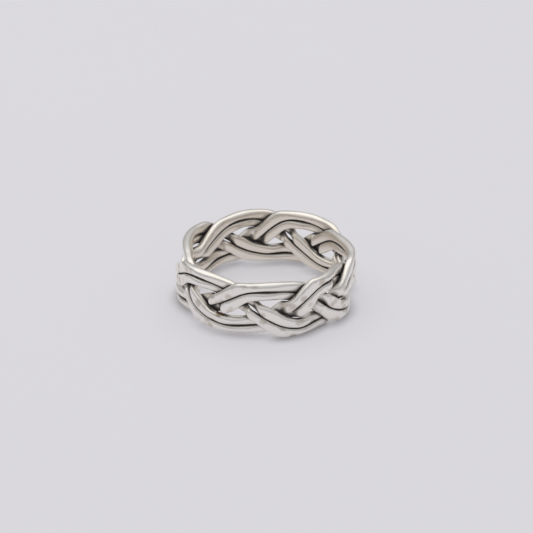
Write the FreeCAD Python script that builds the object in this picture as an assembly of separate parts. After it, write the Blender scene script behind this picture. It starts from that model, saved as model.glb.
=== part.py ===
import bisect
import math
import os

import FreeCAD
import Part

os.makedirs("parts", exist_ok=True)

# A silver finger ring: a flat braid of three strands, each a pair of wires side by side,
# closed into a band with seven lobes along each edge. It lies on its side, axis upright.
# Angles run round the axis from the front, -Y, towards +X. Lengths are in mm, angles in degrees.

# the band
outer_radius = 10.85
inner_radius = 8.85
middle_radius = (outer_radius + inner_radius) / 2.0

# the wires
lobe_wire_width = 1.10
over_wire_width = 1.44
under_wire_width = 1.30
pressed_reach_angle = 15.0
band_edge_play = 0.19
edge_blend = 0.60
lobe_wire_thickness = 1.22
thickest_turn = 1.55
wire_clearance = 0.04
wire_sides = 10
stations_per_lap = 130
closing_cut_angle = 198.0

# how tightly a lobe's shoulders turn, and how round or flat a wire's section is
lobe_shoulder = 4.0
round_section_power = 2.2
flat_section_power = 2.8

# a wire keeps its level while it lies over or under the other strand, less its rounded edge,
# and takes at least this angle to change level
rounded_edge = 0.09
shortest_turn_angle = 5.8

# the braid as it was plaited: seven crossings near the upper edge, seven near the lower, and
# for the lobe that follows each crossing how far its crown is shifted from the middle, the
# height of the strand's middle there, and how squarely the strand turns
braid_columns = ("upper_crossing", "upper_shift", "upper_height", "upper_squareness",
                 "lower_crossing", "lower_shift", "lower_height", "lower_squareness")
braid_rows = [
    (-71.6, -6.9, 6.0, 1.23, -51.2, 3.8, 1.19, 1.36),
    (-23.5, -8.0, 6.02, 1.23, 7.4, 8.0, 0.92, 2.03),
    (28.4, -8.0, 5.9, 1.23, 48.6, -2.0, 0.9, 1.23),
    (72.6, 2.4, 5.73, 1.51, 100.0, -0.5, 1.06, 1.28),
    (126.9, 8.0, 6.09, 1.23, 150.6, -8.0, 1.15, 1.57),
    (174.2, 2.8, 5.87, 1.34, 196.8, 7.2, 1.11, 2.0),
    (222.1, -5.2, 5.74, 1.33, 251.8, -7.5, 0.92, 1.23),
]
braid = [dict(zip(braid_columns, row)) for row in braid_rows]
lobes = len(braid)
strands = 3


def crossing_angle(kind, number):
    """Angle of a crossing, counted on past the first seven lap after lap."""
    laps, row = divmod(number, lobes)
    return braid[row][kind] + 360.0 * laps


def crown_angle(edge, number):
    """Angle of the crown of the lobe between a crossing and the next one of its edge."""
    before = crossing_angle(edge + "_crossing", number)
    after = crossing_angle(edge + "_crossing", number + 1)
    return (before + after) / 2.0 + braid[number % lobes][edge + "_shift"]


# A strand rises over an upper crossing, bends round an upper lobe, dives under the next upper
# crossing, comes down over a lower one, bends round a lower lobe and rises under the next.
# One such wave takes three crossings of each edge, and its phase runs from 0 on an upper lobe.
crossings = []
path_marks = []
for wave in range(-4, 13):
    first = 3 * wave
    passage = [
        ("upper_crossing", first, -60.0, 1.0, "up"),
        ("upper_crossing", first + 1, 60.0, -1.0, "down"),
        ("lower_crossing", first + 1, 120.0, 1.0, "down"),
        ("lower_crossing", first + 2, 240.0, -1.0, "up"),
    ]
    for kind, number, phase, level, heading in passage:
        crossings.append({
            "angle": crossing_angle(kind, number),
            "phase": phase + 360.0 * wave,
            "level": level,
            "heading": heading,
        })
        path_marks.append((crossing_angle(kind, number), phase + 360.0 * wave))
    path_marks.append((crown_angle("upper", first), 360.0 * wave))
    path_marks.append((crown_angle("lower", first + 1), 180.0 + 360.0 * wave))
path_marks.sort()


def smooth_curve(xs, ys):
    """A rising curve through the points that never overshoots them."""
    count = len(xs)
    steps = [xs[i + 1] - xs[i] for i in range(count - 1)]
    slopes = [(ys[i + 1] - ys[i]) / steps[i] for i in range(count - 1)]
    tangents = [slopes[0]]
    for i in range(1, count - 1):
        before = 2.0 * steps[i] + steps[i - 1]
        after = steps[i] + 2.0 * steps[i - 1]
        tangents.append((before + after) / (before / slopes[i - 1] + after / slopes[i]))
    tangents.append(slopes[-1])

    def value(x):
        i = min(max(bisect.bisect_right(xs, x) - 1, 0), count - 2)
        t = (x - xs[i]) / steps[i]
        rise = ys[i + 1] - ys[i]
        bend = tangents[i] * steps[i]
        bend_after = tangents[i + 1] * steps[i]
        return ys[i] + t * bend + t * t * (3 * rise - 2 * bend - bend_after) + t ** 3 * (
            bend + bend_after - 2 * rise)

    return value


phase_at = smooth_curve([mark[0] for mark in path_marks], [mark[1] for mark in path_marks])


def lobes_beside(angle):
    """The rows of the upper and the lower lobe that the strand runs between, and its phase."""
    phase = phase_at(angle)
    wave = math.floor((phase + 180.0) / 360.0)
    within = phase - 360.0 * wave
    lower_number = 3 * wave + 1 if within >= 0 else 3 * wave - 2
    return braid[(3 * wave) % lobes], braid[lower_number % lobes], within


def shouldered(swing, squareness):
    """A swing pushed out towards its ends, which flatten into lobes."""
    pushed = swing * squareness
    return pushed / (1.0 + abs(pushed) ** lobe_shoulder) ** (1.0 / lobe_shoulder)


def strand_height(angle):
    """Height of the strand's middle, a wave with squared lobes."""
    above, below, within = lobes_beside(angle)
    swing = math.asin(0.97 * math.cos(math.radians(within))) / math.asin(0.97)
    squareness = above["upper_squareness"] * (1.0 + swing) / 2.0
    squareness += below["lower_squareness"] * (1.0 - swing) / 2.0
    swing = shouldered(swing, squareness) / shouldered(1.0, squareness)
    upper = above["upper_height"]
    lower = below["lower_height"]
    return (upper + lower) / 2.0 + swing * (upper - lower) / 2.0


def strand_slope(angle):
    """Rise of the strand per mm along the middle of the band."""
    span = 0.5
    rise = strand_height(angle + span) - strand_height(angle - span)
    return rise / (math.radians(2 * span) * middle_radius)


def ease(t):
    t = min(max(t, 0.0), 1.0)
    return t * t * (3.0 - 2.0 * t)


def wire_height_and_half(side, angle):
    """Middle height of a wire in its upright plane, and half its height there."""
    width = lobe_wire_width
    for crossing in crossings:
        pressed = ease(1.0 - abs(angle - crossing["angle"]) / pressed_reach_angle)
        pressed_width = over_wire_width if crossing["level"] > 0 else under_wire_width
        width = max(width, lobe_wire_width + (pressed_width - lobe_wire_width) * pressed)
    height = width * math.sqrt(1.0 + strand_slope(angle) ** 2)
    # the outer edge of the band stays even, however wide the wire is pressed beside it
    middle = strand_height(angle)
    above, below, within = lobes_beside(angle)
    room = above["upper_height"] - middle if side > 0 else middle - below["lower_height"]
    spare = room + lobe_wire_width + band_edge_play - height
    if spare < edge_blend:
        height -= (edge_blend - spare) ** 2 / (4.0 * edge_blend) if spare > -edge_blend else -spare
    return middle + side * (height + wire_clearance) / 2.0, height / 2.0


def still_crossing(side, angle, other_angle):
    """Whether a wire's height at this angle overlaps the other strand's."""
    height, half = wire_height_and_half(side, angle)
    upper, upper_half = wire_height_and_half(1, other_angle)
    lower, lower_half = wire_height_and_half(-1, other_angle)
    under_top = height - half + rounded_edge < upper + upper_half
    over_foot = height + half - rounded_edge > lower - lower_half
    return under_top and over_foot


def level_windows(side):
    """Where the upper (+1) or lower (-1) wire of a strand keeps its level at each crossing."""
    windows = []
    for crossing in crossings[4:-4]:
        # the other strand passes here one lap later or earlier on the same endless path
        lap = 360.0 * crossing["level"]
        before = after = crossing["angle"]
        while still_crossing(side, before, before + lap):
            before -= 0.25
        while still_crossing(side, after, after + lap):
            after += 0.25
        windows.append([before, after, crossing["level"]])
    for one, two in zip(windows, windows[1:]):
        lacking = shortest_turn_angle - (two[0] - one[1])
        if lacking > 0:
            one[1] -= lacking / 2.0
            two[0] += lacking / 2.0
    return windows


def wire_level(windows, angle):
    """+1 where the wire lies outside a crossing, -1 inside, changing smoothly between."""
    for one, two in zip(windows, windows[1:]):
        if one[0] <= angle <= one[1]:
            return one[2]
        if one[1] < angle < two[0]:
            return one[2] + (two[2] - one[2]) * ease((angle - one[1]) / (two[0] - one[1]))
    return windows[-1][2]


def section(side, windows, angle):
    """One station's outline of a wire, as points in the upright plane at this angle."""
    level = wire_level(windows, angle)
    span = 1.0
    level_change = wire_level(windows, angle + span) - wire_level(windows, angle - span)
    reach = (outer_radius - inner_radius) / 4.0
    steepness = level_change * reach / (math.radians(2 * span) * middle_radius)
    slope = strand_slope(angle)
    middle_height, half_height = wire_height_and_half(side, angle)

    # flat over and under a crossing, rounder in the lobes and deeper where it changes level
    flatness = level ** 2
    flat_thickness = (outer_radius - inner_radius - wire_clearance) / 2.0
    round_thickness = lobe_wire_thickness * math.sqrt(1.0 + steepness ** 2 / (1.0 + slope ** 2))
    thickness = flatness * flat_thickness + (1 - flatness) * min(round_thickness, thickest_turn)
    radius = middle_radius + level * (outer_radius - inner_radius + wire_clearance) / 4.0
    outside = min(radius + thickness / 2.0, outer_radius)
    inside = max(radius - thickness / 2.0, inner_radius)

    power = round_section_power + (flat_section_power - round_section_power) * flatness
    turns = [2.0 * math.pi * k / wire_sides for k in range(wire_sides)]
    highest = max(math.sin(turn) for turn in turns) ** (2.0 / power)
    corners = []
    for turn in turns:
        across = math.copysign(abs(math.cos(turn)) ** (2.0 / power), math.cos(turn))
        outwards = math.copysign(abs(math.sin(turn)) ** (2.0 / power), math.sin(turn)) / highest
        corner_radius = (outside + inside) / 2.0 + outwards * (outside - inside) / 2.0
        corners.append((corner_radius, middle_height + across * half_height))
    return corners


def wire_points(strand, side):
    """All stations of one wire, from the closing cut once round to it again."""
    windows = level_windows(side)
    start = closing_cut_angle + 360.0 * strand
    rings = []
    for i in range(stations_per_lap + 1):
        angle = start + 360.0 * i / stations_per_lap
        turn = math.radians(angle)
        ring = []
        for radius, height in section(side, windows, angle):
            ring.append((radius * math.sin(turn), -radius * math.cos(turn), height))
        rings.append(ring)
    return rings


def wire_solid(rings):
    """A closed solid with flat facets between the stations and a flat face at each end."""
    points = []
    for ring in rings:
        for x, y, z in ring:
            points.append(FreeCAD.Vector(x, y, z))
    facets = []
    for i in range(len(rings) - 1):
        for k in range(wire_sides):
            after = (k + 1) % wire_sides
            a = i * wire_sides + k
            b = i * wire_sides + after
            c = a + wire_sides
            d = b + wire_sides
            facets.append((a, c, d))
            facets.append((a, d, b))
    last = (len(rings) - 1) * wire_sides
    for k in range(1, wire_sides - 1):
        facets.append((0, k, k + 1))
        facets.append((last, last + k + 1, last + k))
    skin = Part.Shape()
    skin.makeShapeFromMesh((points, facets), 0.0001)
    solid = Part.makeSolid(Part.Shell(skin.Faces))
    if solid.Volume < 0:
        solid.reverse()
    return solid


pieces = {}
for strand in range(strands):
    for side, place in ((1, "upper"), (-1, "lower")):
        pieces["strand_%d_%s_wire" % (strand + 1, place)] = wire_points(strand, side)

# the ring rests on its lowest lobes, centred over the origin
every_point = [point for rings in pieces.values() for ring in rings for point in ring]
lows = [min(point[i] for point in every_point) for i in range(3)]
highs = [max(point[i] for point in every_point) for i in range(3)]
shift = FreeCAD.Vector(-(lows[0] + highs[0]) / 2.0, -(lows[1] + highs[1]) / 2.0, -lows[2])
print("box before centring", [round(v, 3) for v in lows], [round(v, 3) for v in highs])
print("shift", [round(v, 4) for v in shift])

volume = 0.0
for name, rings in pieces.items():
    solid = wire_solid(rings)
    solid.translate(shift)
    solid.exportStep("parts/%s.step" % name)
    volume += solid.Volume
    print(name, solid.ShapeType, solid.isValid(), round(solid.Volume, 2), len(solid.Faces))
print("volume in mm3", round(volume, 1), "facets per wire", stations_per_lap * wire_sides * 2 + 20)
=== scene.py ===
# The looks of a braided silver band ring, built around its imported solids.
# Lengths are worked out in millimetres and laid down in metres; angles are in degrees,
# counted round the finger's axis from the front, -Y, towards the right, +X.
import bisect
import math

import bpy
from mathutils import Matrix, Vector
from mathutils.bvhtree import BVHTree


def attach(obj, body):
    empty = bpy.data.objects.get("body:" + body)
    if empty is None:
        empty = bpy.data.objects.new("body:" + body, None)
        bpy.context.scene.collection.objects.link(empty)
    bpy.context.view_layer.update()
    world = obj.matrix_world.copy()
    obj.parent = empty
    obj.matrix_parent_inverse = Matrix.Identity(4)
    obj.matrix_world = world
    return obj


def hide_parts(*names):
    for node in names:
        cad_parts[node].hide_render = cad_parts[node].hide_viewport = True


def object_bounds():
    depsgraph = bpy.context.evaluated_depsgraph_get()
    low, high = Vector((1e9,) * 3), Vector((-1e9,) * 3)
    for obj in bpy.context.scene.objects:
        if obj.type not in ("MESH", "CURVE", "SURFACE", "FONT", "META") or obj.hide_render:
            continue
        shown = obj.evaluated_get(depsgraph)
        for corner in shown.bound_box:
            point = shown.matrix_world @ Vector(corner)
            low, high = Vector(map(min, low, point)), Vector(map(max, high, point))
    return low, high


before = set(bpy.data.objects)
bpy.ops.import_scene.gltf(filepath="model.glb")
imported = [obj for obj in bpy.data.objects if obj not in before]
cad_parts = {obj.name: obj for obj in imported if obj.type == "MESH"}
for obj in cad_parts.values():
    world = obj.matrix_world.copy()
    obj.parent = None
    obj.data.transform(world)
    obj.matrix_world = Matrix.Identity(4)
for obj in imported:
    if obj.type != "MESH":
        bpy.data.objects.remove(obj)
cad_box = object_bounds()


# The three strands of the band
#
# Each strand is a pair of round silver wires laid side by side. The three pairs are plaited
# flat, hammered on a mandrel so that every crossing is pressed flat inside and out, closed
# into a band with seven lobes along each edge, and soldered at one plain cut behind.
millimetre = 0.001
outer_radius = 10.85
inner_radius = 8.85
middle_radius = (outer_radius + inner_radius) / 2.0
wall = outer_radius - inner_radius
lobe_wire_width = 1.10
over_wire_width = 1.44
under_wire_width = 1.30
pressed_reach_angle = 15.0
band_edge_play = 0.19
edge_blend = 0.60
lobe_wire_thickness = 1.22
thickest_turn = 1.55
wire_clearance = 0.04
closing_cut_angle = 198.0
stations_per_lap = 720
wire_sides = 40
strand_count = 3

# how softly a strand turns in a lobe, how tightly the lobe's shoulders turn, and how round or
# flat a wire's section is
swing_softness = 0.97
lobe_shoulder = 4.0
round_section_power = 2.05
flat_section_power = 3.0

# a wire keeps its level while it lies over or under the other strand, less its rounded edge,
# and takes at least this angle to change level
rounded_edge = 0.09
shortest_turn_angle = 5.8

# the braid as it was plaited: seven crossings near the upper edge, seven near the lower, and
# for the lobe that follows each crossing how far its crown is shifted from the middle, the
# height of the strand's middle there, and how squarely the strand turns
braid_columns = ("upper_crossing", "upper_shift", "upper_height", "upper_squareness",
                 "lower_crossing", "lower_shift", "lower_height", "lower_squareness")
braid_rows = [
    (-71.6, -6.9, 6.0, 1.23, -51.2, 3.8, 1.19, 1.36),
    (-23.5, -8.0, 6.02, 1.23, 7.4, 8.0, 0.92, 2.03),
    (28.4, -8.0, 5.9, 1.23, 48.6, -2.0, 0.9, 1.23),
    (72.6, 2.4, 5.73, 1.51, 100.0, -0.5, 1.06, 1.28),
    (126.9, 8.0, 6.09, 1.23, 150.6, -8.0, 1.15, 1.57),
    (174.2, 2.8, 5.87, 1.34, 196.8, 7.2, 1.11, 2.0),
    (222.1, -5.2, 5.74, 1.33, 251.8, -7.5, 0.92, 1.23),
]
braid = [dict(zip(braid_columns, row)) for row in braid_rows]
lobes = len(braid)


def crossing_angle(kind, number):
    """Angle of a crossing, counted on past the first seven lap after lap."""
    laps, row = divmod(number, lobes)
    return braid[row][kind] + 360.0 * laps


def crown_angle(edge, number):
    """Angle of the crown of the lobe between a crossing and the next one of its edge."""
    before = crossing_angle(edge + "_crossing", number)
    after = crossing_angle(edge + "_crossing", number + 1)
    return (before + after) / 2.0 + braid[number % lobes][edge + "_shift"]


# One wave of a strand: over an upper crossing, round an upper lobe, under the next upper
# crossing, over a lower one, round a lower lobe and under the next, three crossings further.
# A few waves more than the three laps hold are laid out, so every crossing has neighbours.
crossings = []
path_marks = []
for wave in range(-4, 13):
    first = 3 * wave
    passages = [
        ("upper_crossing", first, -60.0, 1.0),
        ("upper_crossing", first + 1, 60.0, -1.0),
        ("lower_crossing", first + 1, 120.0, 1.0),
        ("lower_crossing", first + 2, 240.0, -1.0),
    ]
    for kind, number, phase, level in passages:
        crossings.append({"angle": crossing_angle(kind, number), "level": level})
        path_marks.append((crossing_angle(kind, number), phase + 360.0 * wave))
    path_marks.append((crown_angle("upper", first), 360.0 * wave))
    path_marks.append((crown_angle("lower", first + 1), 180.0 + 360.0 * wave))
path_marks.sort()


def smooth_curve(xs, ys):
    """A rising curve through the points that never overshoots them."""
    count = len(xs)
    steps = [xs[i + 1] - xs[i] for i in range(count - 1)]
    slopes = [(ys[i + 1] - ys[i]) / steps[i] for i in range(count - 1)]
    tangents = [slopes[0]]
    for i in range(1, count - 1):
        before = 2.0 * steps[i] + steps[i - 1]
        after = steps[i] + 2.0 * steps[i - 1]
        tangents.append((before + after) / (before / slopes[i - 1] + after / slopes[i]))
    tangents.append(slopes[-1])

    def value(x):
        i = min(max(bisect.bisect_right(xs, x) - 1, 0), count - 2)
        t = (x - xs[i]) / steps[i]
        rise = ys[i + 1] - ys[i]
        bend = tangents[i] * steps[i]
        bend_after = tangents[i + 1] * steps[i]
        curve = 3 * rise - 2 * bend - bend_after
        return ys[i] + t * bend + t * t * curve + t ** 3 * (bend + bend_after - 2 * rise)

    return value


phase_at = smooth_curve([mark[0] for mark in path_marks], [mark[1] for mark in path_marks])


def ease(t):
    """0 up to nothing, 1 from one on, and smooth between."""
    t = min(max(t, 0.0), 1.0)
    return t * t * (3.0 - 2.0 * t)


def lobes_beside(angle):
    """The rows of the upper and the lower lobe that the strand runs between, and its phase."""
    phase = phase_at(angle)
    wave = math.floor((phase + 180.0) / 360.0)
    within = phase - 360.0 * wave
    lower_number = 3 * wave + 1 if within >= 0 else 3 * wave - 2
    return braid[(3 * wave) % lobes], braid[lower_number % lobes], within


def shouldered(swing, squareness):
    """A swing pushed out towards its ends, which flatten into lobes."""
    pushed = swing * squareness
    return pushed / (1.0 + abs(pushed) ** lobe_shoulder) ** (1.0 / lobe_shoulder)


def strand_height(angle):
    """Height of the strand's middle line."""
    above, below, within = lobes_beside(angle)
    swing = math.asin(swing_softness * math.cos(math.radians(within))) / math.asin(swing_softness)
    squareness = above["upper_squareness"] * (1.0 + swing) / 2.0
    squareness += below["lower_squareness"] * (1.0 - swing) / 2.0
    swing = shouldered(swing, squareness) / shouldered(1.0, squareness)
    upper = above["upper_height"]
    lower = below["lower_height"]
    return (upper + lower) / 2.0 + swing * (upper - lower) / 2.0


def strand_slope(angle):
    """Rise of the strand per mm along the middle of the band."""
    span = 0.5
    rise = strand_height(angle + span) - strand_height(angle - span)
    return rise / (math.radians(2 * span) * middle_radius)


def wire_height_and_half(side, angle):
    """Middle height of the upper (+1) or lower (-1) wire, and half its height."""
    width = lobe_wire_width
    for crossing in crossings:
        pressed = ease(1.0 - abs(angle - crossing["angle"]) / pressed_reach_angle)
        pressed_width = over_wire_width if crossing["level"] > 0 else under_wire_width
        width = max(width, lobe_wire_width + (pressed_width - lobe_wire_width) * pressed)
    height = width * math.sqrt(1.0 + strand_slope(angle) ** 2)
    middle = strand_height(angle)
    above, below, within = lobes_beside(angle)
    room = above["upper_height"] - middle if side > 0 else middle - below["lower_height"]
    spare = room + lobe_wire_width + band_edge_play - height
    if spare <= -edge_blend:
        height += spare
    elif spare < edge_blend:
        height -= (edge_blend - spare) ** 2 / (4.0 * edge_blend)
    return middle + side * (height + wire_clearance) / 2.0, height / 2.0


def still_crossing(side, angle, other_angle):
    """Whether a wire's height at this angle overlaps the other strand's."""
    height, half = wire_height_and_half(side, angle)
    upper, upper_half = wire_height_and_half(1, other_angle)
    lower, lower_half = wire_height_and_half(-1, other_angle)
    under_top = height - half + rounded_edge < upper + upper_half
    over_foot = height + half - rounded_edge > lower - lower_half
    return under_top and over_foot


def level_windows(side):
    """Where a wire stays outside (+1) or inside (-1) the other strand at each crossing."""
    windows = []
    for crossing in crossings[4:-4]:
        lap = 360.0 * crossing["level"]
        before = after = crossing["angle"]
        while still_crossing(side, before, before + lap):
            before -= 0.25
        while still_crossing(side, after, after + lap):
            after += 0.25
        windows.append([before, after, crossing["level"]])
    for one, two in zip(windows, windows[1:]):
        lacking = shortest_turn_angle - (two[0] - one[1])
        if lacking > 0:
            one[1] -= lacking / 2.0
            two[0] += lacking / 2.0
    return windows


def wire_level(windows, angle):
    """+1 where the wire lies outside a crossing, -1 inside, changing smoothly between."""
    for one, two in zip(windows, windows[1:]):
        if one[0] <= angle <= one[1]:
            return one[2]
        if one[1] < angle < two[0]:
            return one[2] + (two[2] - one[2]) * ease((angle - one[1]) / (two[0] - one[1]))
    return windows[-1][2]


def smoothed(values, reach):
    """Each value averaged with its neighbours; the first and last few drop out."""
    weights = [1.0 + math.cos(math.pi * k / (reach + 1)) for k in range(-reach, reach + 1)]
    total = sum(weights)
    result = []
    for i in range(reach, len(values) - reach):
        near = values[i - reach:i + reach + 1]
        result.append(sum(weight * value for weight, value in zip(weights, near)) / total)
    return result


def wire_stations(strand, side):
    """Angles of a wire's stations, and its height, size, radius, flatness and level at each."""
    reach = 4
    look = 3
    flat_thickness = (wall - wire_clearance) / 2.0
    windows = level_windows(side)
    start = closing_cut_angle + 360.0 * strand
    step = 360.0 / stations_per_lap
    angles = [start + step * i for i in range(-reach, stations_per_lap + reach + 1)]
    levels = [wire_level(windows, angle) for angle in angles]
    rows = []
    for i, angle in enumerate(angles):
        ahead = levels[min(i + look, len(levels) - 1)]
        behind = levels[max(i - look, 0)]
        run = math.radians(2 * look * step) * middle_radius
        steepness = (ahead - behind) * wall / 4.0 / run
        slope = strand_slope(angle)
        middle_height, half_height = wire_height_and_half(side, angle)
        flatness = levels[i] ** 2
        round_thickness = lobe_wire_thickness * math.sqrt(1 + steepness ** 2 / (1 + slope ** 2))
        round_thickness = min(round_thickness, thickest_turn)
        thickness = flatness * flat_thickness + (1 - flatness) * round_thickness
        radius = middle_radius + levels[i] * (wall + wire_clearance) / 4.0
        outside = min(radius + thickness / 2.0, outer_radius)
        inside = max(radius - thickness / 2.0, inner_radius)
        rows.append((middle_height, half_height, (outside + inside) / 2.0,
                     (outside - inside) / 2.0, flatness, levels[i]))
    columns = [smoothed(column, reach) for column in zip(*rows)]
    return angles[reach:-reach], columns


class Value:
    """A node's output. Sums and products of values become Math nodes in the same tree."""

    def __init__(self, maker, socket):
        self.maker = maker
        self.socket = socket

    def math(self, operation, *others):
        inputs = dict(enumerate((self,) + others))
        return self.maker.node("ShaderNodeMath", {"operation": operation}, inputs)[0]

    def __add__(self, other):
        return self.math("ADD", other)

    def __sub__(self, other):
        return self.math("SUBTRACT", other)

    def __mul__(self, other):
        return self.math("MULTIPLY", other)

    def __truediv__(self, other):
        return self.math("DIVIDE", other)

    def __pow__(self, other):
        return self.math("POWER", other)

    def __radd__(self, other):
        return self + other

    def __rmul__(self, other):
        return self * other

    def __rsub__(self, other):
        return self * -1.0 + other

    def ramp(self, low, high):
        """0 below low, 1 above high and smooth between."""
        settings = {"interpolation_type": "SMOOTHSTEP"}
        inputs = {"Value": self, "From Min": low, "From Max": high}
        return self.maker.node("ShaderNodeMapRange", settings, inputs)["Result"]


class Maker:
    """Adds nodes to one tree: their settings first, then a value or a link for each socket."""

    def __init__(self, tree):
        self.tree = tree

    def node(self, kind, settings, inputs):
        node = self.tree.nodes.new(kind)
        for name, setting in settings.items():
            setattr(node, name, setting)
        for name, given in inputs.items():
            if isinstance(given, Value):
                self.tree.links.new(given.socket, node.inputs[name])
            else:
                node.inputs[name].default_value = given
        return Outputs(self, node)


class Outputs:
    """A node's outputs by name or number, each as a value."""

    def __init__(self, maker, node):
        self.maker = maker
        self.node = node

    def __getitem__(self, name):
        return Value(self.maker, self.node.outputs[name])


def wire_tree():
    """Geometry nodes that lay a pressed wire along its row of stations."""
    tree = bpy.data.node_groups.new("pressed wire", "GeometryNodeTree")
    sockets = [
        ("Stations", "INPUT", "NodeSocketGeometry"),
        ("Sides", "INPUT", "NodeSocketInt"),
        ("Hammer mark size", "INPUT", "NodeSocketFloat"),
        ("Hammer mark depth", "INPUT", "NodeSocketFloat"),
        ("Hammer seed", "INPUT", "NodeSocketFloat"),
        ("Finish", "INPUT", "NodeSocketMaterial"),
        ("Wire", "OUTPUT", "NodeSocketGeometry"),
    ]
    for name, in_out, kind in sockets:
        tree.interface.new_socket(name=name, in_out=in_out, socket_type=kind)
    make = Maker(tree)
    given = make.node("NodeGroupInput", {}, {})

    def stored(name, kind="FLOAT"):
        settings = {"data_type": kind}
        return make.node("GeometryNodeInputNamedAttribute", settings, {"Name": name})["Attribute"]

    # a round wire of the wanted number of sides, each point knowing its turn round the wire
    rail = make.node("GeometryNodeMeshToCurve", {}, {"Mesh": given["Stations"]})["Curve"]
    circle = make.node("GeometryNodeCurvePrimitiveCircle", {"mode": "RADIUS"},
                       {"Resolution": given["Sides"], "Radius": 0.5 * millimetre})["Curve"]
    share = make.node("GeometryNodeInputIndex", {}, {})["Index"] / given["Sides"]
    circle = make.node("GeometryNodeStoreNamedAttribute", {"data_type": "FLOAT", "domain": "POINT"},
                       {"Geometry": circle, "Name": "around", "Value": share})["Geometry"]
    tube = make.node("GeometryNodeCurveToMesh", {},
                     {"Curve": rail, "Profile Curve": circle, "Fill Caps": True})["Mesh"]

    # press the round wire flat: its section is a square with well rounded corners
    turn = stored("around") * (2.0 * math.pi)
    cosine = turn.math("COSINE")
    sine = turn.math("SINE")
    roundness = stored("roundness")
    across = cosine.math("SIGN") * cosine.math("ABSOLUTE") ** roundness
    outwards = sine.math("SIGN") * sine.math("ABSOLUTE") ** roundness

    # shallow round hammer marks, about a mark's size apart, on the outer face
    mark_rim = 0.6
    height = stored("middle", "FLOAT_VECTOR")
    height = make.node("ShaderNodeSeparateXYZ", {}, {"Vector": height})["Z"] / millimetre
    height = height + across * stored("half_height") / millimetre
    size = given["Hammer mark size"]
    place = make.node("ShaderNodeCombineXYZ", {}, {
        "X": stored("along") / size, "Y": height / size, "Z": given["Hammer seed"]})["Vector"]
    mark = make.node("ShaderNodeTexVoronoi", {"feature": "SMOOTH_F1"}, {
        "Vector": place, "Scale": 1.0, "Smoothness": 0.25, "Randomness": 0.8})["Distance"]
    hollow = (1.0 - (mark / mark_rim) ** 2.0).math("MAXIMUM", 0.0)
    struck = stored("struck") * outwards.ramp(0.3, 0.95)
    outwards_shift = hollow * struck * given["Hammer mark depth"] * -millimetre

    upright = make.node("ShaderNodeCombineXYZ", {}, {
        "Z": across * stored("half_height")})["Vector"]
    sideways = make.node("ShaderNodeVectorMath", {"operation": "SCALE"}, {
        "Vector": stored("outward", "FLOAT_VECTOR"),
        "Scale": outwards * stored("half_depth") + outwards_shift})["Vector"]
    offset = make.node("ShaderNodeVectorMath", {"operation": "ADD"}, {0: upright, 1: sideways})
    place = make.node("ShaderNodeVectorMath", {"operation": "ADD"}, {
        0: stored("middle", "FLOAT_VECTOR"), 1: offset["Vector"]})["Vector"]
    pressed = make.node("GeometryNodeSetPosition", {}, {
        "Geometry": tube, "Position": place})["Geometry"]
    pressed = make.node("GeometryNodeStoreNamedAttribute", {
        "data_type": "FLOAT", "domain": "POINT"}, {
        "Geometry": pressed, "Name": "hammered", "Value": hollow * struck})["Geometry"]

    # smooth all along, with a crisp edge round each cut end
    corners = make.node("GeometryNodeInputMeshFaceNeighbors", {}, {})["Vertex Count"]
    is_end = corners.math("GREATER_THAN", 4.5)
    smooth = make.node("GeometryNodeSetShadeSmooth", {}, {"Geometry": pressed})["Geometry"]
    smooth = make.node("GeometryNodeSetShadeSmooth", {}, {
        "Geometry": smooth, "Selection": is_end, "Shade Smooth": False})["Geometry"]
    solid = make.node("GeometryNodeRealizeInstances", {}, {"Geometry": smooth})["Geometry"]
    finished = make.node("GeometryNodeSetMaterial", {}, {
        "Geometry": solid, "Material": given["Finish"]})["Geometry"]
    make.node("NodeGroupOutput", {}, {"Wire": finished})
    return tree


# a brown stain where a front strand dives, left of the middle: its size, its distance from the
# finger's axis, its angle and its height
stain_radius = 0.75
stain_out = 10.3
stain_turn = math.radians(-31.5)
stain_height = 2.75
stain_place = Vector((stain_out * math.sin(stain_turn), -stain_out * math.cos(stain_turn),
                      stain_height)) * millimetre


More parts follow.
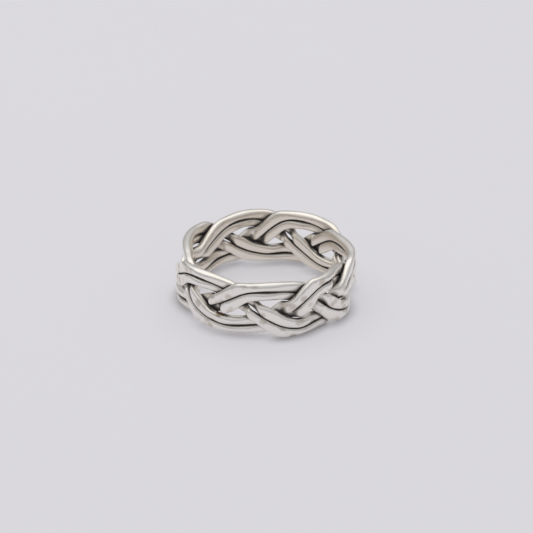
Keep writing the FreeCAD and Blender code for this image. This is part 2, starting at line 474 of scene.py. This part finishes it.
def silver_finish():
    """Bright worked silver: fine rubbing marks, a warm cast inside, black tarnish together with
    painted shade in the crevices, and painted shade along the lower edge."""
    material = bpy.data.materials.new("hammered silver")
    material.use_nodes = True
    material.node_tree.nodes.clear()
    make = Maker(material.node_tree)

    def read(name):
        return make.node("ShaderNodeAttribute", {"attribute_name": name}, {})["Fac"]

    def noise(vector, scale, detail):
        return make.node("ShaderNodeTexNoise", {}, {
            "Vector": vector, "Scale": scale, "Detail": detail, "Roughness": 0.55})["Fac"]

    def mixed(share, one, two):
        return make.node("ShaderNodeMix", {"data_type": "RGBA"}, {0: share, 6: one, 7: two})[2]

    place = make.node("ShaderNodeTexCoord", {}, {})["Object"]
    rubbed_place = make.node("ShaderNodeCombineXYZ", {}, {
        "X": read("along") * 0.35, "Y": read("around") * 60.0, "Z": 0.0})["Vector"]
    cloudy = noise(place, 420.0, 3.0)
    fine = noise(place, 2600.0, 4.0)
    rubbed = noise(rubbed_place, 1.0, 3.0)

    # shelter: how deep a point lies between the wires, plus the faces near the table; it darkens
    # the silver as black tarnish and painted shade in the crevices, and as painted shade along the
    # lower edge
    shelter = read("shelter")
    hammered = (read("hammered") + (cloudy - 0.5) * 0.2).ramp(0.28, 0.80)
    black = (shelter + (fine - 0.5) * 0.22 + (cloudy - 0.5) * 0.2).ramp(0.50, 0.90)
    brown = (shelter + (cloudy - 0.5) * 0.3).ramp(0.18, 0.50)
    from_stain = make.node("ShaderNodeVectorMath", {"operation": "DISTANCE"}, {
        0: place, 1: stain_place})["Value"] / (stain_radius * millimetre)
    stain = 1.0 - (from_stain + (cloudy - 0.5) * 0.5).ramp(0.45, 1.0)
    warm = read("inside") * 0.55 + cloudy.ramp(0.45, 0.75) * 0.25 + hammered * 0.30

    bright_silver = (0.93, 0.905, 0.865, 1.0)
    warm_silver = (0.88, 0.79, 0.67, 1.0)
    dull_brown = (0.40, 0.34, 0.28, 1.0)
    black_tarnish_and_shade = (0.120, 0.113, 0.106, 1.0)
    brown_stain = (0.24, 0.15, 0.07, 1.0)
    clean = mixed(warm, bright_silver, warm_silver)
    dulled_and_shaded = mixed(brown * 0.36 + hammered * 0.32, clean, dull_brown)
    tarnished_and_shaded = mixed(black, dulled_and_shaded, black_tarnish_and_shade)
    colour = mixed(stain * 0.8, tarnished_and_shaded, brown_stain)
    roughness = 0.21 + rubbed * 0.12 + cloudy * 0.06 + brown * 0.10 + black * 0.20
    roughness = roughness + hammered * 0.06
    height = rubbed * 0.5 + fine * 0.5
    bump = make.node("ShaderNodeBump", {}, {
        "Strength": 0.12, "Distance": 0.02 * millimetre, "Height": height})["Normal"]
    surface = make.node("ShaderNodeBsdfPrincipled", {}, {
        "Base Color": colour, "Roughness": roughness, "Metallic": 1.0 - black * 0.75,
        "Normal": bump})["BSDF"]
    make.node("ShaderNodeOutputMaterial", {}, {"Surface": surface})
    return material


def closeness(probe, reach, surfaces):
    """0 where no wire is nearer to the probe than its reach, 1 on a wire or inside one."""
    nearest, facing, facet, distance = surfaces.find_nearest(probe)
    if (probe - nearest).dot(facing) < 0.0:
        return 1.0
    return 1.0 - min(distance / (reach * millimetre), 1.0)


def sheltered(point, normal, surfaces):
    """How far into a crevice a point lies, from 0 in the open to 1 deep between the wires."""
    straight_share = 0.40
    side_share = 0.16
    side_reach = 0.42
    share = 0.0
    for reach in (0.15, 0.50):
        probe = point + normal * (reach * millimetre)
        share += straight_share * closeness(probe, reach, surfaces)
    aside = normal.orthogonal().normalized()
    beside = normal.cross(aside)
    for step in (aside, beside, -aside, -beside):
        probe = point + (normal + step) * (side_reach * millimetre)
        share += side_share * closeness(probe, side_reach, surfaces)
    return share


# painted shade: the lower rim is darkened as if it reflected its own contact shadow
def near_the_foot(point, normal):
    """1 on a face that looks down at the table, 0 some way above it or on one that looks up."""
    foot_height = 0.7
    steepest_up = 0.6
    low = max(1.0 - point.z / (foot_height * millimetre), 0.0)
    return low * min(max(steepest_up - normal.z, 0.0), 1.0)


def station_mesh(name, strand, side):
    """A row of points along the wire's middle with all that the nodes need at each."""
    angles, columns = wire_stations(strand, side)
    heights, half_heights, radii, half_depths, flatness, levels = columns
    middles = []
    outward = []
    for angle, height, radius in zip(angles, heights, radii):
        turn = math.radians(angle)
        outward.append((math.sin(turn), -math.cos(turn), 0.0))
        middles.append((radius * math.sin(turn) * millimetre,
                        -radius * math.cos(turn) * millimetre, height * millimetre))
    mesh = bpy.data.meshes.new(name)
    mesh.from_pydata(middles, [(i, i + 1) for i in range(len(middles) - 1)], [])
    along = [math.radians(angle) * middle_radius for angle in angles]
    extra_power = flat_section_power - round_section_power
    least_struck = 0.35
    numbers = {
        "half_height": [half * millimetre for half in half_heights],
        "half_depth": [half * millimetre for half in half_depths],
        "roundness": [2.0 / (round_section_power + flat * extra_power) for flat in flatness],
        "struck": [least_struck + (1.0 - least_struck) * ease(level) for level in levels],
        "along": along,
    }
    for attribute, values in numbers.items():
        mesh.attributes.new(attribute, "FLOAT", "POINT").data.foreach_set("value", values)
    for attribute, vectors in (("middle", middles), ("outward", outward)):
        flat_list = [part for vector in vectors for part in vector]
        layer = mesh.attributes.new(attribute, "FLOAT_VECTOR", "POINT")
        layer.data.foreach_set("vector", flat_list)
    return mesh


# how strongly painted shade darkens the faces that look down near the table
foot_painted_shade = 0.8
tree = wire_tree()
silver = silver_finish()
tree_inputs = {
    "Sides": wire_sides,
    "Hammer mark size": 1.15,
    "Hammer mark depth": 0.075,
    "Finish": silver,
}
identifiers = {item.name: item.identifier for item in tree.interface.items_tree
               if item.in_out == "INPUT"}

wires = {}
for strand in range(strand_count):
    for side, edge in ((1, "upper"), (-1, "lower")):
        node = "strand_%d_%s_wire" % (strand + 1, edge)
        wire = bpy.data.objects.new(node + "_silver", station_mesh(node, strand, side))
        bpy.context.scene.collection.objects.link(wire)
        laid = wire.modifiers.new("pressed wire", "NODES")
        laid.node_group = tree
        for name, value in tree_inputs.items():
            laid[identifiers[name]] = value
        laid[identifiers["Hammer seed"]] = 3.0 + 2.0 * strand + side
        wires[node] = wire

depsgraph = bpy.context.evaluated_depsgraph_get()
for node, wire in wires.items():
    solid = bpy.data.meshes.new_from_object(wire.evaluated_get(depsgraph),
                                            preserve_all_data_layers=True, depsgraph=depsgraph)
    wire.modifiers.clear()
    wire.data = solid

# the wires' ends meet at the cut, so their flat faces there shelter nothing
cut_turn = math.radians(closing_cut_angle)
cut_normal = Vector((math.cos(cut_turn), math.sin(cut_turn), 0.0))
points = []
facets = []
for node in wires:
    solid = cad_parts[node].data
    first = len(points)
    points.extend(vertex.co.copy() for vertex in solid.vertices)
    for face in solid.polygons:
        off_cut = max(abs(solid.vertices[corner].co.dot(cut_normal)) for corner in face.vertices)
        if off_cut > 0.01 * millimetre:
            facets.append([first + corner for corner in face.vertices])
surfaces = BVHTree.FromPolygons(points, facets)

# the lowest lobe stands on the table
lowest = min(vertex.co.z for wire in wires.values() for vertex in wire.data.vertices)
lift = Vector((0.0, 0.0, cad_box[0][2] - lowest))

for node, wire in wires.items():
    mesh = wire.data
    for vertex in mesh.vertices:
        vertex.co += lift
    mesh.update()
    shelter = []
    inside = []
    for vertex in mesh.vertices:
        # painted shade: crevices are darkened as tarnish and as shade, faces near the table as
        # painted shade only
        crevice = sheltered(vertex.co, vertex.normal, surfaces)
        shelter.append(crevice + foot_painted_shade * near_the_foot(vertex.co, vertex.normal))
        inward = -(vertex.normal.x * vertex.co.x + vertex.normal.y * vertex.co.y)
        inside.append(ease(inward / math.hypot(vertex.co.x, vertex.co.y)))

    # the points round each cut end take the values of the next ones along the wire
    for values in (shelter, inside):
        values[:wire_sides] = values[wire_sides:2 * wire_sides]
        values[-wire_sides:] = values[-2 * wire_sides:-wire_sides]
    for name, values in (("shelter", shelter), ("inside", inside)):
        mesh.attributes.new(name, "FLOAT", "POINT").data.foreach_set("value", values)
    for name in ("half_height", "half_depth", "roundness", "struck", "middle", "outward"):
        mesh.attributes.remove(mesh.attributes[name])
    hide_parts(node)
    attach(wire, "root")


# The table top
#
# A plain sheet of pale lilac grey acrylic, large enough that its edges stay out of sight.
# It glows evenly all over, so shadows stay weak, and a shadow is painted into its glow
# close to where the band touches it, darker the nearer the band.
sheet_half = 300.0
near_half = 16.0
near_step = 0.25
shade_reach = 1.5
near_marks = [near_step * i - near_half for i in range(round(2.0 * near_half / near_step) + 1)]
marks = [-sheet_half] + near_marks + [sheet_half]
count = len(marks)
corners = [Vector((x, y, 0.0)) * millimetre for y in marks for x in marks]
squares = [(i + j * count, i + 1 + j * count, i + 1 + (j + 1) * count, i + (j + 1) * count)
           for j in range(count - 1) for i in range(count - 1)]
sheet = bpy.data.meshes.new("table_top")
sheet.from_pydata(corners, [], squares)
shade = []
for corner in corners:
    distance = surfaces.find_nearest(corner)[3] / millimetre
    shade.append((1.0 - min(distance / shade_reach, 1.0)) ** 2)
sheet.attributes.new("shade", "FLOAT", "POINT").data.foreach_set("value", shade)
floor = bpy.data.objects.new("table_top", sheet)
bpy.context.scene.collection.objects.link(floor)
acrylic = bpy.data.materials.new("matt acrylic")
acrylic.use_nodes = True
acrylic.node_tree.nodes.clear()
make = Maker(acrylic.node_tree)
place = make.node("ShaderNodeTexCoord", {}, {})["Object"]
grain = make.node("ShaderNodeTexNoise", {}, {"Vector": place, "Scale": 40.0, "Detail": 2.0})["Fac"]
tone = make.node("ShaderNodeMix", {"data_type": "RGBA"}, {
    0: grain, 6: (0.375, 0.370, 0.384, 1.0), 7: (0.385, 0.380, 0.394, 1.0)})[2]
# painted contact shadow: the sheet's glow is darker where the band is near
shaded = make.node("ShaderNodeAttribute", {"attribute_name": "shade"}, {})["Fac"]
glow = make.node("ShaderNodeMix", {"data_type": "RGBA"}, {
    0: shaded, 6: (0.422, 0.416, 0.438, 1.0), 7: (0.125, 0.121, 0.127, 1.0)})[2]
matt = make.node("ShaderNodeBsdfPrincipled", {}, {
    "Base Color": tone, "Roughness": 0.7, "Specular IOR Level": 0.2,
    "Emission Color": glow, "Emission Strength": 1.0})["BSDF"]
make.node("ShaderNodeOutputMaterial", {}, {"Surface": matt})
sheet.materials.append(acrylic)


# The light
#
# A bright tent: an even pale sky all round, brightest overhead, and one broad warm lamp above
# and a little behind the ring, so the rounded upper edges catch it.
world = bpy.data.worlds.new("tent")
bpy.context.scene.world = world
world.use_nodes = True
world.node_tree.nodes.clear()
make = Maker(world.node_tree)
ray = make.node("ShaderNodeTexCoord", {}, {})["Generated"]
up = make.node("ShaderNodeSeparateXYZ", {}, {"Vector": ray})["Z"]
sky = make.node("ShaderNodeMix", {"data_type": "RGBA"}, {
    0: up.ramp(0.0, 0.9), 6: (0.34, 0.34, 0.35, 1.0), 7: (0.62, 0.62, 0.63, 1.0)})[2]
tent = make.node("ShaderNodeBackground", {}, {"Color": sky, "Strength": 1.0})["Background"]
make.node("ShaderNodeOutputWorld", {}, {"Surface": tent})

lamp_data = bpy.data.lights.new("overhead", "AREA")
lamp_data.shape = "RECTANGLE"
lamp_data.size = 0.66
lamp_data.size_y = 0.42
lamp_data.energy = 0.44
lamp_data.color = (1.0, 0.955, 0.86)
lamp = bpy.data.objects.new("overhead", lamp_data)
lamp.location = (-0.06, 0.10, 0.38)
lamp.rotation_euler = (-lamp.location).to_track_quat("-Z", "Y").to_euler()
bpy.context.scene.collection.objects.link(lamp)


# The camera
#
# A long lens in front of the ring and 27 degrees above it, as the photograph was taken. The
# ring's middle stands at ring_pixel, counted from the picture's upper left corner.
image_pixels = 533
pixels_per_mm = 8.33
elevation = math.radians(27.01)
distance = 600.0
ring_pixel = (265.91, 271.44)
ring_middle = Vector((0.0, 0.0, 3.736))
back = Vector((0.0, -math.cos(elevation), math.sin(elevation)))
right = Vector((1.0, 0.0, 0.0))
up = back.cross(right)
aim = ring_middle + right * ((image_pixels / 2.0 - ring_pixel[0]) / pixels_per_mm)
aim = aim - up * ((image_pixels / 2.0 - ring_pixel[1]) / pixels_per_mm)
camera_data = bpy.data.cameras.new("camera")
camera_data.sensor_width = 36.0
camera_data.lens = camera_data.sensor_width * distance * pixels_per_mm / image_pixels
camera_data.clip_start = 0.01
camera = bpy.data.objects.new("camera", camera_data)
bpy.context.scene.collection.objects.link(camera)
camera.location = (aim + back * distance) * millimetre
axes = Matrix(((right.x, up.x, back.x), (right.y, up.y, back.y), (right.z, up.z, back.z)))
camera.rotation_euler = axes.to_euler()
bpy.context.scene.camera = camera
bpy.context.scene.view_settings.view_transform = "Standard"
